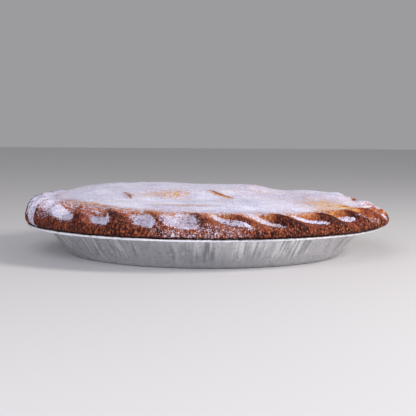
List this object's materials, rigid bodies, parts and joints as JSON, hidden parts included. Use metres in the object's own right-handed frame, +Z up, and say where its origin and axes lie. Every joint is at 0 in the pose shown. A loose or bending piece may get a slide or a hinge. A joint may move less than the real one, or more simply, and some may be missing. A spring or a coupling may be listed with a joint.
{
  "type": "covered apple pie in a foil plate",
  "caption": "Round covered pie with a domed sugar-dusted lid, steam slits and a rope-crimped browned edge, baked in a shallow pressed foil plate.",
  "frame": {"origin": "centre of the underside of the foil plate's base", "axes": "+Z up, -Y towards the side the picture was taken from, +X to the right in the picture"},
  "size_m": [0.2287, 0.229, 0.0418],
  "materials": {
    "baked_crust": null,
    "pressed_foil": "bright pressed foil with fine pleats"
  },
  "bodies": {
    "root": {"pie": "baked_crust", "foil_plate": "pressed_foil"}
  },
  "joints": []
}
